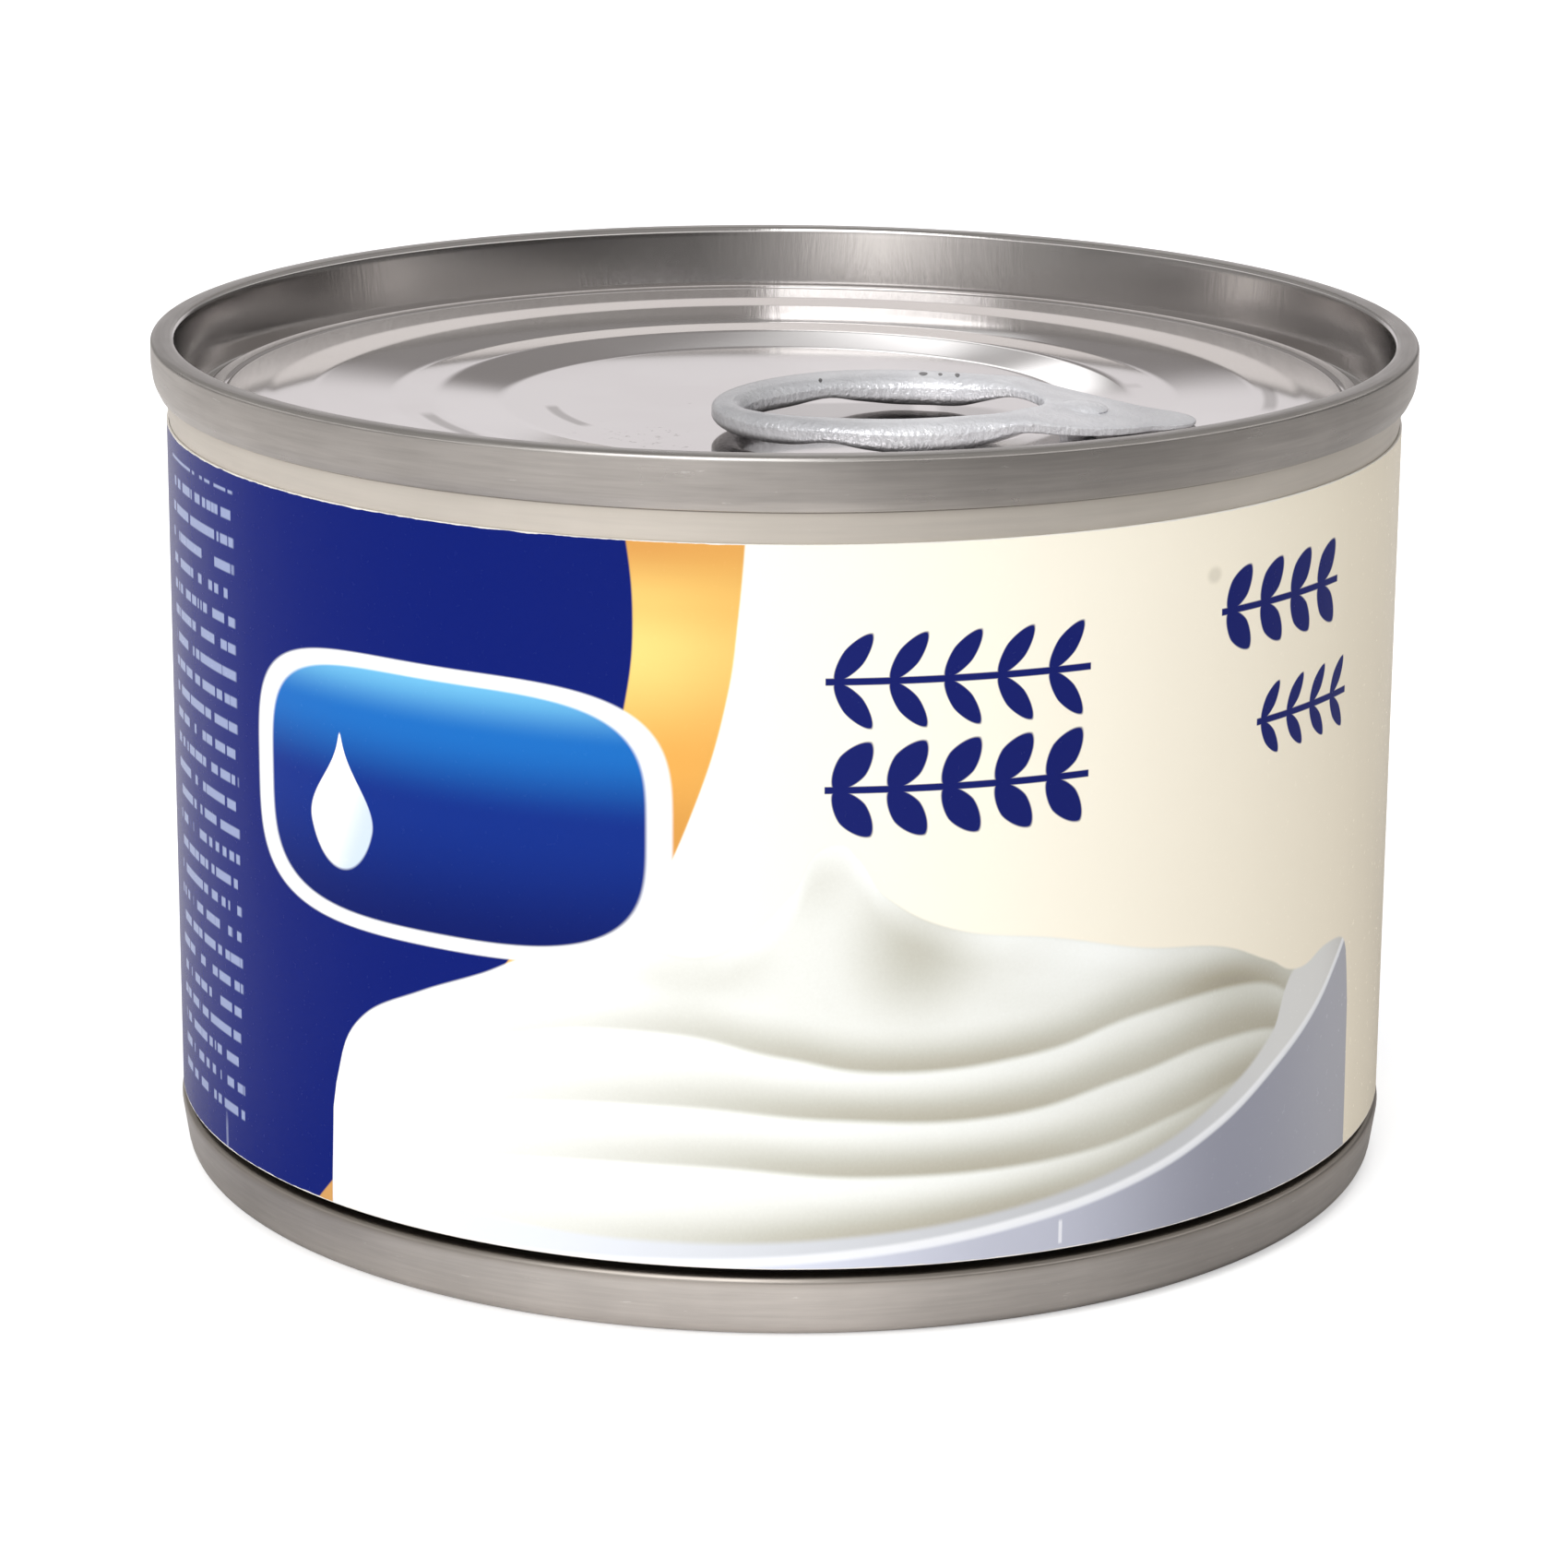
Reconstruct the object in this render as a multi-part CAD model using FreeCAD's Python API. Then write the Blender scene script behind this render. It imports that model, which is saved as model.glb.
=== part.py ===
"""Small can of table cream: a three-piece tin with a ring-pull lid and a paper label.

The can stands on its base seam. The origin is the middle of the base, on the surface the can stands
on, +Z points up, and -Y is the side that the label's front faces. Millimetres.
"""
import FreeCAD
import Part

import math
import os

Vector = FreeCAD.Vector

# Overall sizes
height = 50.0
body_radius = 36.5
fit = 0.05

# Seams: each end is folded round the edge of the body
seam_height = 3.1
seam_thickness = 1.4
seam_overhang = 1.0
seam_curl_in = 0.45
seam_curl_height = 1.6
seam_curl_bulge = 0.1
crown_round = 0.62

# Body shell
wall_thickness = 0.45
wall_lap = 0.35
neck_in = 0.8
shoulder_height = 0.75
shoulder_crown = 0.12
top_flare = 0.2

# Lid: a chuck wall, a countersink, and a panel that steps down towards its middle
lid_depth = 4.45
lid_sheet = 0.55
chuck_lean = 0.5
countersink_width = 0.8
countersink_floor = 0.1
panel_edge = 0.6
panel_steps = [(0.0, 0.90), (3.6, 0.76), (6.2, 0.71), (10.8, 0.39), (13.4, 0.36), (17.3, 0.0)]
score_inset = 0.9
score_width = 0.3
score_depth = 0.12

# Base end: its seam is widest at its upper edge and rounds in to the foot
base_seam_height = 3.75
base_overhang = 0.3
base_taper = 0.55
base_crown = 1.6
base_foot_width = 0.5
base_inner_round = 0.45
base_lip_round = 0.4
base_recess = 3.1
base_sheet = 1.4
base_groove = 0.45
base_steps = [(0.0, 0.0), (5.6, 0.0), (7.0, 0.3), (14.6, 0.3), (16.0, 0.0)]

# Paper label
label_rise = 0.5
label_drop = 1.8
label_thickness = 0.12
label_gap = 0.03

# Rivet
rivet_x = 17.0
rivet_y = -8.9
rivet_head_radius = 1.7
rivet_shank_radius = 1.1
rivet_head_height = 0.35
rivet_seat = 1.1
head_clearance = 0.15

# Ring-pull tab: places along it are measured from the rivet, positive towards the nose
ring_middle = -11.2
ring_length = 20.2
ring_width = 18.0
hole_middle = -10.7
hole_side = -0.4
hole_length = 17.6
hole_width = 10.8
hole_turn = 7.0
nose_length = 6.9
nose_radius = 2.4
neck_half_width = 5.6
neck_start = -6.5
shoulder_half_width = 7.9
edge_round = 0.3

# Side view of the tab: (place, height over what the ring or the nose rests on)
ring_gap = 0.12
tab_top = [(-22.5, 1.44), (-18.0, 1.64), (-11.0, 1.79), (-3.4, 1.87), (-1.6, 1.45), (0.0, 1.08)]
nose_top = [(3.0, 0.72), (8.0, 0.42)]
tab_bottom = [(-22.5, 0.29), (-19.0, 0.14), (-16.6, 0.24), (-14.4, 0.54), (-12.6, 0.26), (-10.5, 0.02),
              (-8.5, 0.0), (-6.6, 0.04), (-5.2, 0.42), (-3.6, 0.9), (-1.5, 0.78)]
nose_bottom = [(1.4, 0.12), (3.5, 0.03), (8.0, 0.03)]

# What follows from the sizes above
lid_seam_radius = body_radius + seam_overhang
lid_seam_low = height - seam_height
flare_radius = body_radius + top_flare
wall_top = lid_seam_low + wall_lap
panel_middle = height - lid_depth
body_top = panel_middle - lid_sheet
chuck_top_radius = lid_seam_radius - seam_thickness
chuck_foot_radius = chuck_top_radius - chuck_lean
panel_radius = chuck_foot_radius - countersink_width - panel_edge
base_seam_radius = body_radius + base_overhang
base_crown_middle = base_seam_radius - base_taper - base_crown
neck_radius = body_radius - neck_in
neck_top = base_seam_height
neck_foot = base_seam_height - wall_lap
base_end_top = base_recess + base_sheet
label_bottom = neck_top + label_rise
label_top = lid_seam_low - label_drop
above_all = 2 * height


def lathe(steps):
    """Turn a closed outline about Z. A step is a (radius, z) corner, or a pair of them: a point that
    an arc passes through and the arc's end."""
    def place(corner):
        return Vector(corner[0], 0, corner[1])

    edges = []
    here = place(steps[0])
    for step in steps[1:] + steps[:1]:
        if isinstance(step[0], tuple):
            through, end = place(step[0]), place(step[1])
            edges.append(Part.Arc(here, through, end).toShape())
        else:
            end = place(step)
            edges.append(Part.LineSegment(here, end).toShape())
        here = end
    face = Part.Face(Part.Wire(edges))
    return face.revolve(Vector(0, 0, 0), Vector(0, 0, 1), 360)


def corner_arc(centre_radius, centre_z, size, start_turn):
    """A rounded right-angle corner as an arc step, from a turn in degrees from the outward direction."""
    def at(turn):
        angle = math.radians(turn)
        return (centre_radius + size * math.cos(angle), centre_z + size * math.sin(angle))

    return (at(start_turn + 45), at(start_turn + 90))


def panel_height(radius):
    """Height of the lid's panel at a radius inside its edge."""
    steps = panel_steps + [(panel_radius, 0.0)]
    inset = max(panel_radius - radius, 0.0)
    for (outer, high), (inner, low) in zip(steps, steps[1:]):
        if outer <= inset <= inner:
            return panel_middle + high + (low - high) * (inset - outer) / (inner - outer)
    return panel_middle


def can_body():
    """Tin cylinder with its contents: necked in at the base, its edge standing up into the lid seam."""
    chord = math.hypot(neck_in, shoulder_height)
    bulge = (
        body_radius - neck_in / 2 + shoulder_crown * shoulder_height / chord,
        neck_top + shoulder_height / 2 - shoulder_crown * neck_in / chord,
    )
    return lathe([
        (0, base_end_top),
        (neck_radius - wall_thickness, base_end_top),
        (neck_radius - wall_thickness, neck_foot),
        (neck_radius, neck_foot),
        (neck_radius, neck_top),
        (bulge, (body_radius, neck_top + shoulder_height)),
        (body_radius, label_top),
        (flare_radius, lid_seam_low),
        (flare_radius, wall_top),
        (body_radius - wall_thickness, wall_top),
        (body_radius - wall_thickness, body_top),
        (0, body_top),
    ])


def lid_end():
    """Ring-pull end: double seam, chuck wall, countersink and stepped panel with its score line."""
    plug_radius = body_radius - wall_thickness - fit
    skirt_radius = flare_radius + fit
    curl_low = (lid_seam_radius - seam_curl_in, lid_seam_low)
    curl_high = (lid_seam_radius, lid_seam_low + seam_curl_height)
    curl_middle = (
        (curl_low[0] + curl_high[0]) / 2 + seam_curl_bulge,
        (curl_low[1] + curl_high[1]) / 2,
    )
    crown_z = height - crown_round
    sink_radius = chuck_foot_radius - countersink_width
    sink_edge = panel_middle + countersink_floor + countersink_width / 2
    sink_bottom = ((chuck_foot_radius + sink_radius) / 2, panel_middle + countersink_floor)
    seam = [
        (0, body_top),
        (plug_radius, body_top),
        (plug_radius, wall_top),
        (skirt_radius, wall_top),
        (skirt_radius, lid_seam_low),
        curl_low,
        (curl_middle, curl_high),
        (lid_seam_radius, crown_z),
        corner_arc(lid_seam_radius - crown_round, crown_z, crown_round, 0),
        (chuck_top_radius + crown_round, height),
        corner_arc(chuck_top_radius + crown_round, crown_z, crown_round, 90),
        (chuck_foot_radius, sink_edge),
        (sink_bottom, (sink_radius, sink_edge)),
        (panel_radius, panel_height(panel_radius)),
    ]
    score_radius = panel_radius - score_inset
    score = [
        (radius, panel_height(radius) - depth)
        for radius, depth in (
            (score_radius + score_width / 2, 0),
            (score_radius, score_depth),
            (score_radius - score_width / 2, 0),
        )
    ]
    panel = [(panel_radius - inset, panel_middle + rise) for inset, rise in panel_steps[1:]]
    return lathe(seam + score + panel + [(0, panel_middle)])


def base_end():
    """Plain base: a smaller double seam round a recessed panel with one raised ring."""
    foot_radius = base_crown_middle - base_foot_width
    chuck_low_radius = foot_radius - base_inner_round
    chuck_high_radius = chuck_low_radius - chuck_lean
    groove_radius = chuck_high_radius - countersink_width
    groove_top = ((chuck_high_radius + groove_radius) / 2, base_recess + base_groove)
    edge_radius = groove_radius - panel_edge
    lip_middle = base_seam_radius - base_lip_round
    lip_z = base_seam_height - base_lip_round
    panel = [(edge_radius - inset, base_recess + rise) for inset, rise in reversed(base_steps)]
    return lathe([(0, base_recess)] + panel + [
        (groove_radius, base_recess),
        (groove_top, (chuck_high_radius, base_recess)),
        (chuck_low_radius, base_inner_round),
        corner_arc(foot_radius, base_inner_round, base_inner_round, 180),
        (base_crown_middle, 0),
        corner_arc(base_crown_middle, base_crown, base_crown, 270),
        (base_seam_radius, lip_z),
        corner_arc(lip_middle, lip_z, base_lip_round, 0),
        (neck_radius + fit, base_seam_height),
        (neck_radius + fit, neck_foot),
        (neck_radius - wall_thickness - fit, neck_foot),
        (neck_radius - wall_thickness - fit, base_end_top),
        (0, base_end_top),
    ])


def label():
    """Paper sleeve round the body, from over the base's groove to just under the lid seam."""
    inside = body_radius + label_gap
    return lathe([
        (inside, label_bottom),
        (inside + label_thickness, label_bottom),
        (inside + label_thickness, label_top),
        (inside, label_top),
    ])


def face_of(curves):
    return Part.Face(Part.Wire([curve.toShape() for curve in curves]))


def spline(points):
    curve = Part.BSplineCurve()
    curve.interpolate(points)
    return curve


def oval(middle, length, width):
    """A flat ellipse on the tab's axis."""
    return face_of([Part.Ellipse(Vector(middle, 0, 0), length / 2, width / 2)])


def nose_plan():
    """The nose from above: it narrows from the ring's shoulders through the neck to a round tip."""
    tip = nose_length - nose_radius
    side = Vector(neck_start, shoulder_half_width, 0)
    neck = Vector(0, neck_half_width, 0)
    corner = Vector(tip, nose_radius, 0)
    mirrored = [Vector(p.x, -p.y, 0) for p in (corner, neck, side)]
    return face_of([
        spline([side, neck, corner]),
        Part.Arc(corner, Vector(nose_length, 0, 0), mirrored[0]),
        spline(mirrored),
        Part.LineSegment(mirrored[2], side),
    ])


def finger_hole():
    """The hole, seen from above: an ellipse turned a little on the tab's axis."""
    hole = oval(0, hole_length, hole_width)
    hole.rotate(Vector(0, 0, 0), Vector(0, 0, 1), hole_turn)
    hole.translate(Vector(hole_middle, hole_side, 0))
    return hole


def side_plan():
    """The tab seen from its side: arched, thick round the ring and thin over the neck and nose."""
    front = math.hypot(rivet_x + ring_middle, abs(rivet_y) + ring_width / 2)
    ring_seat = panel_height(front) + ring_gap
    nose_seat = panel_height(math.hypot(rivet_x + nose_length, rivet_y)) + fit
    top = [Vector(s, 0, ring_seat + rise) for s, rise in tab_top]
    top += [Vector(s, 0, nose_seat + rise) for s, rise in nose_top]
    bottom = [Vector(s, 0, ring_seat + rise) for s, rise in tab_bottom]
    bottom += [Vector(s, 0, nose_seat + rise) for s, rise in nose_bottom]
    bottom.reverse()
    return face_of([
        spline(top),
        Part.LineSegment(top[-1], bottom[0]),
        spline(bottom),
        Part.LineSegment(bottom[-1], top[0]),
    ])


def rivet_seat_height():
    """Height of the step in the neck that the rivet's head sits in."""
    return panel_height(math.hypot(rivet_x, rivet_y)) + rivet_seat


def pull_tab():
    """Ring-pull: a thick ring for the finger, a neck held by the rivet, and a nose on the panel."""
    def upright(face):
        return face.extrude(Vector(0, 0, above_all))

    side = side_plan()
    side.translate(Vector(0, -ring_width, 0))
    slab = side.extrude(Vector(0, 2 * ring_width, 0))
    plan = upright(oval(ring_middle, ring_length, ring_width)).fuse(upright(nose_plan()))
    tab = plan.cut(upright(finger_hole())).common(slab).removeSplitter().Solids[0]
    largest = sorted(tab.Faces, key=lambda face: face.Area)[-2:]
    top = max(largest, key=lambda face: face.CenterOfMass.z)
    tab = tab.makeFillet(edge_round, top.Edges)
    shank_hole = Part.makeCylinder(rivet_shank_radius + fit, above_all)
    seat = Vector(0, 0, rivet_seat_height())
    head_seat = Part.makeCylinder(rivet_head_radius + head_clearance, height, seat)
    tab = tab.cut(shank_hole).cut(head_seat)
    tab.translate(Vector(rivet_x, rivet_y, 0))
    return tab


def rivet():
    """Rivet raised from the panel through the neck, with a low domed head."""
    foot = Vector(rivet_x, rivet_y, panel_height(math.hypot(rivet_x, rivet_y) + rivet_shank_radius))
    head_foot = Vector(rivet_x, rivet_y, rivet_seat_height() + fit)
    dome_radius = (rivet_head_radius ** 2 + rivet_head_height ** 2) / (2 * rivet_head_height)
    dome_middle = head_foot + Vector(0, 0, rivet_head_height - dome_radius)
    shank = Part.makeCylinder(rivet_shank_radius, head_foot.z - foot.z + fit, foot)
    disc = Part.makeCylinder(rivet_head_radius, rivet_head_height, head_foot)
    dome = Part.makeSphere(dome_radius, dome_middle).common(disc)
    return shank.fuse(dome).removeSplitter()


os.makedirs("parts", exist_ok=True)
nodes = {
    "can_body": can_body,
    "lid_end": lid_end,
    "base_end": base_end,
    "label": label,
    "pull_tab": pull_tab,
    "rivet": rivet,
}
for name, build in nodes.items():
    shape = build()
    if shape.ShapeType != "Solid":
        shape = shape.Solids[0]
    print(name, "valid:", shape.isValid(), "volume:", round(shape.Volume, 1))
    shape.exportStep(f"parts/{name}.step")
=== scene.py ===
import bpy
import math
from mathutils import Matrix, Vector


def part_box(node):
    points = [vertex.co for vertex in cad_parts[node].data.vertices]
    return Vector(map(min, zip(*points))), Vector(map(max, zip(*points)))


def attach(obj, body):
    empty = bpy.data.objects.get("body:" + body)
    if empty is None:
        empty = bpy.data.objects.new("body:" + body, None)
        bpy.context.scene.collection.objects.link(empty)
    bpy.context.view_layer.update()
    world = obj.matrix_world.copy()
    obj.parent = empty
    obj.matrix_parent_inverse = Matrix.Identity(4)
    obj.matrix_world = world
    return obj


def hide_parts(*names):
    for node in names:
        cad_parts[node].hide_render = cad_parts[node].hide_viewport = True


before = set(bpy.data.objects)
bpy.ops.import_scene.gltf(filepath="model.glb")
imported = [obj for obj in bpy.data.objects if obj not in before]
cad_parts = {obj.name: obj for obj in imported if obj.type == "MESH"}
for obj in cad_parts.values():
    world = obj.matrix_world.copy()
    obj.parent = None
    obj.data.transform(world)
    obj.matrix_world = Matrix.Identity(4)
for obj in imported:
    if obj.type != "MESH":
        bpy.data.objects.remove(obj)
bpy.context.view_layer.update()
mm = 0.001
print("frame loaded")

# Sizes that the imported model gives, in millimetres
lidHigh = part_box("lid_end")[1]
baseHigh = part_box("base_end")[1]
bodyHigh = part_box("can_body")[1]
labelLow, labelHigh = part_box("label")
rivetLow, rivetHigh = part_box("rivet")
lidDepth = 4.45
labelThickness = 0.12
labelGap = 0.03
seamRadius = lidHigh.x / mm
canHeight = lidHigh.z / mm
bodyRadius = labelHigh.x / mm - labelThickness - labelGap
flareRadius = bodyHigh.x / mm
baseRadius = baseHigh.x / mm
panelHeight = canHeight - lidDepth
rivetPlace = (rivetLow + rivetHigh) / 2 / mm

# How turned outlines are rounded, welded and shaded
turning = {"arcShare": 0.48, "weld": 0.0015 * mm, "smoothAngle": math.radians(38)}


# Small helpers for modelling
def deselectAll():
    if bpy.context.object and bpy.context.object.mode != "OBJECT":
        bpy.ops.object.mode_set(mode="OBJECT")
    bpy.ops.object.select_all(action="DESELECT")


def roundedOutline(corners, stepAngle=13, fewest=2):
    # corners are (radius, height, rounding) in millimetres, and each rounding becomes a short arc
    outline = []
    for i, (radius, height, rounding) in enumerate(corners):
        corner = Vector((radius, height))
        if not rounding:
            outline.append((radius, height))
            continue
        before = Vector(corners[i - 1][:2]) - corner
        after = Vector(corners[i + 1][:2]) - corner
        opening = before.angle(after)
        share = turning["arcShare"]
        reach = min(rounding / math.tan(opening / 2), before.length * share, after.length * share)
        arcRadius = reach * math.tan(opening / 2)
        middle = corner + (before.normalized() + after.normalized()).normalized() * arcRadius / math.sin(opening / 2)
        first = corner + before.normalized() * reach - middle
        last = corner + after.normalized() * reach - middle
        sweep = first.angle_signed(last)
        count = max(fewest, math.ceil(abs(math.degrees(sweep)) / stepAngle))
        for k in range(count + 1):
            turned = first.copy()
            turned.rotate(Matrix.Rotation(-sweep * k / count, 2))
            outline.append(tuple(middle + turned))
    return outline


def turnOutline(name, outline, steps=288, turn=360.0):
    # one point is extruded along the outline, then the line is spun about the can's axis
    deselectAll()
    bpy.ops.mesh.primitive_plane_add(size=mm)
    piece = bpy.context.object
    piece.name = piece.data.name = name
    bpy.ops.object.mode_set(mode="EDIT")
    bpy.ops.mesh.select_mode(type="VERT")
    bpy.ops.mesh.select_all(action="SELECT")
    bpy.ops.mesh.merge(type="CENTER")
    bpy.ops.transform.translate(value=(outline[0][0] * mm, 0, outline[0][1] * mm))
    for here, there in zip(outline, outline[1:]):
        step = ((there[0] - here[0]) * mm, 0, (there[1] - here[1]) * mm)
        bpy.ops.mesh.extrude_region_move(TRANSFORM_OT_translate={"value": step})
    bpy.ops.mesh.select_all(action="SELECT")
    bpy.ops.mesh.spin(steps=steps, angle=math.radians(turn), center=(0, 0, 0), axis=(0, 0, 1))
    bpy.ops.mesh.select_all(action="SELECT")
    bpy.ops.mesh.remove_doubles(threshold=turning["weld"])
    bpy.ops.mesh.normals_make_consistent(inside=False)
    bpy.ops.object.mode_set(mode="OBJECT")
    bpy.ops.object.shade_smooth_by_angle(angle=turning["smoothAngle"])
    return piece


def settle(piece, node):
    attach(piece, "root")
    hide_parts(node)
    print(piece.name, "made,", len(piece.data.polygons), "faces")


# Small helpers for materials
def fromScreen(red, green, blue):
    def linear(value):
        value = value / 255
        return value / 12.92 if value <= 0.04045 else ((value + 0.055) / 1.055) ** 2.4

    return (linear(red), linear(green), linear(blue), 1.0)


def newMaterial(name):
    material = bpy.data.materials.new(name)
    material.use_nodes = True
    tree = material.node_tree
    return material, tree, tree.nodes["Principled BSDF"]


def plug(socket, value):
    if isinstance(value, bpy.types.NodeSocket):
        socket.id_data.links.new(value, socket)
    elif isinstance(value, (tuple, list)) and len(socket.default_value) != len(value):
        socket.default_value = value[: len(socket.default_value)]
    else:
        socket.default_value = value


def newNode(kind, *values):
    # a node in the tree that the first socket among the values belongs to
    tree = next(value.id_data for value in values if isinstance(value, bpy.types.NodeSocket))
    return tree.nodes.new(kind)


def calc(operation, *values):
    node = newNode("ShaderNodeMath", *values)
    node.operation = operation
    for socket, value in zip(node.inputs, values):
        plug(socket, value)
    return node.outputs[0]


def times(value, other):
    return calc("MULTIPLY", value, other)


def plus(value, other):
    return calc("ADD", value, other)


def minus(value, other):
    return calc("SUBTRACT", value, other)


def away(value, place):
    return calc("ABSOLUTE", minus(value, place))


def softStep(value, low, high, start=0.0, end=1.0):
    node = newNode("ShaderNodeMapRange", value)
    node.interpolation_type = "SMOOTHSTEP"
    for socket, setting in zip(node.inputs, (value, low, high, start, end)):
        plug(socket, setting)
    return node.outputs[0]


def softFall(value, low, high):
    return softStep(value, low, high, 1.0, 0.0)


def between(value, rise, fall):
    # 1 between two soft edges, each given as (start, end)
    return times(softStep(value, *rise), softFall(value, *fall))


def mixColours(factor, colourA, colourB, blend="MIX"):
    node = newNode("ShaderNodeMix", factor, colourA, colourB)
    node.data_type = "RGBA"
    node.blend_type = blend
    plug(node.inputs[0], factor)
    plug(node.inputs[6], colourA)
    plug(node.inputs[7], colourB)
    return node.outputs[2]


def rampOf(value, stops, smooth="EASE"):
    node = newNode("ShaderNodeValToRGB", value)
    ramp = node.color_ramp
    ramp.interpolation = smooth
    while len(ramp.elements) < len(stops):
        ramp.elements.new(0.5)
    for element, (place, colour) in zip(ramp.elements, stops):
        element.position = place
        element.color = colour
    plug(node.inputs[0], value)
    return node.outputs[0]


def curveOf(value, low, high, points):
    # a curve through listed points: value runs from low to high, and points are (value, result) pairs
    place = softRange(value, low, high)
    node = newNode("ShaderNodeFloatCurve", value)
    curve = node.mapping.curves[0]
    top = max(result for _, result in points)
    bottom = min(result for _, result in points)
    span = (top - bottom) or 1.0
    while len(curve.points) < len(points):
        curve.points.new(0.5, 0.5)
    for dot, (at, result) in zip(curve.points, points):
        dot.location = ((at - low) / (high - low), (result - bottom) / span)
    node.mapping.update()
    plug(node.inputs["Value"], place)
    return calc("MULTIPLY_ADD", node.outputs[0], span, bottom)


def softRange(value, low, high):
    node = newNode("ShaderNodeMapRange", value)
    for socket, setting in zip(node.inputs, (value, low, high, 0.0, 1.0)):
        plug(socket, setting)
    return node.outputs[0]


def roundness(across, up, half, power=2.0):
    # 0 in the middle of an oval, 1 on its edge: a higher power makes it squarer
    sides, ends = (calc("POWER", calc("ABSOLUTE", calc("DIVIDE", part, size)), power)
                   for part, size in zip((across, up), half))
    return calc("POWER", plus(sides, ends), 1 / power)


def ovalOf(across, up, middle, half):
    return roundness(minus(across, middle[0]), minus(up, middle[1]), half)


def partsOf(vector):
    node = newNode("ShaderNodeSeparateXYZ", vector)
    plug(node.inputs[0], vector)
    return node.outputs


def pointOf(tree):
    # the place on the piece, in millimetres
    return scaled(tree.nodes.new("ShaderNodeTexCoord").outputs["Object"], 1 / mm)


def canPlaces(tree):
    # where a point lies on the can: the point, its radius, degrees round from the front, and height
    point = pointOf(tree)
    across, deep, high = partsOf(point)
    turn = times(calc("ARCTAN2", across, times(deep, -1.0)), 180 / math.pi)
    squares = plus(times(across, across), times(deep, deep))
    return point, calc("SQRT", squares), turn, high


def vectorOf(x, y, z):
    node = newNode("ShaderNodeCombineXYZ", x, y, z)
    for socket, value in zip(node.inputs, (x, y, z)):
        plug(socket, value)
    return node.outputs[0]


def scaled(vector, factor):
    node = newNode("ShaderNodeVectorMath", vector)
    node.operation = "SCALE"
    plug(node.inputs[0], vector)
    node.inputs["Scale"].default_value = factor
    return node.outputs[0]


def noiseOf(vector, scale, detail=2.0, roughness=0.5):
    node = newNode("ShaderNodeTexNoise", vector)
    plug(node.inputs["Vector"], vector)
    node.inputs["Scale"].default_value = scale
    node.inputs["Detail"].default_value = detail
    node.inputs["Roughness"].default_value = roughness
    return node.outputs[0]


def bumpOf(height, strength, distance, normal=None):
    node = newNode("ShaderNodeBump", height)
    node.inputs["Strength"].default_value = strength
    node.inputs["Distance"].default_value = distance * mm
    plug(node.inputs["Height"], height)
    if normal:
        plug(node.inputs["Normal"], normal)
    return node.outputs[0]


# Tin finishes
def rolledTin(tin):
    # seam and wall metal: fine lines round the can, with a little unevenness and a few scuffs
    material, tree, shader = newMaterial(tin["name"])
    point, radius, turn, height = canPlaces(tree)
    rings = noiseOf(vectorOf(times(turn, 0.03), radius, height), tin["rings"], 3.0, 0.6)
    broad = noiseOf(vectorOf(times(turn, 0.16), radius, height), tin["broad"], 2.0)
    blotch = noiseOf(point, 0.11, 3.0, 0.6)
    marks = vectorOf(times(turn, 0.22), times(radius, 2.2), times(height, 2.2))
    scuff = softStep(noiseOf(marks, 1.3, 4.0, 0.75), 0.66, 0.72)
    tone = plus(times(rings, 0.5), times(blotch, 0.5))
    darker = tuple(part * tin["dark"] for part in tin["colour"][:3]) + (1.0,)
    shade = mixColours(softStep(tone, 0.3, 0.7), darker, tin["colour"])
    shade = mixColours(times(scuff, tin["scuffs"]), shade, (0.86, 0.85, 0.83, 1.0))
    # painted shade: a darker band in each gap where two pieces meet
    for unshadedHeight, shadedHeight, shadeTone in tin["creases"]:
        colour = (shadeTone, shadeTone * 0.9, shadeTone * 0.8, 1.0)
        shade = mixColours(softStep(height, unshadedHeight, shadedHeight), shade, colour)
    plug(shader.inputs["Base Color"], shade)
    shader.inputs["Metallic"].default_value = tin["metal"]
    rough = calc("MULTIPLY_ADD", broad, 0.16, tin["roughness"] - 0.08)
    plug(shader.inputs["Roughness"], calc("MULTIPLY_ADD", scuff, 0.12, rough))
    fine = bumpOf(rings, tin["bump"], 0.02)
    plug(shader.inputs["Normal"], bumpOf(broad, tin["bump"] * 0.8, 0.05, fine))
    return material


# rings and broad are the scales of the lines, dark the tone of the darker patches, and creases the painted shade
# in the gaps where two pieces meet: (height without shade, height of full shade, tone)
rolledSeam = rolledTin({
    "name": "rolledSeam", "colour": (0.60, 0.575, 0.55, 1.0), "roughness": 0.30, "metal": 1.0,
    "rings": 4.5, "broad": 0.9, "dark": 0.80, "scuffs": 0.45, "bump": 0.25, "creases": [],
})
bodyTin = rolledTin({
    "name": "bodyTin", "colour": (0.74, 0.69, 0.62, 1.0), "roughness": 0.40, "metal": 0.7,
    "rings": 2.5, "broad": 0.7, "dark": 0.90, "scuffs": 0.25, "bump": 0.12,
    # painted shade under the lid's seam lip and in the groove above the base seam
    "creases": [(46.74, 46.86, 0.16), (4.40, 4.28, 0.05)],
})
baseTin = rolledTin({
    "name": "baseTin", "colour": (0.66, 0.63, 0.60, 1.0), "roughness": 0.32, "metal": 1.0,
    "rings": 4.0, "broad": 0.8, "dark": 0.82, "scuffs": 0.6, "bump": 0.22,
    # painted shade along the top of the base seam, under the groove
    "creases": [(3.0, 3.74, 0.36)],
})

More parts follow.
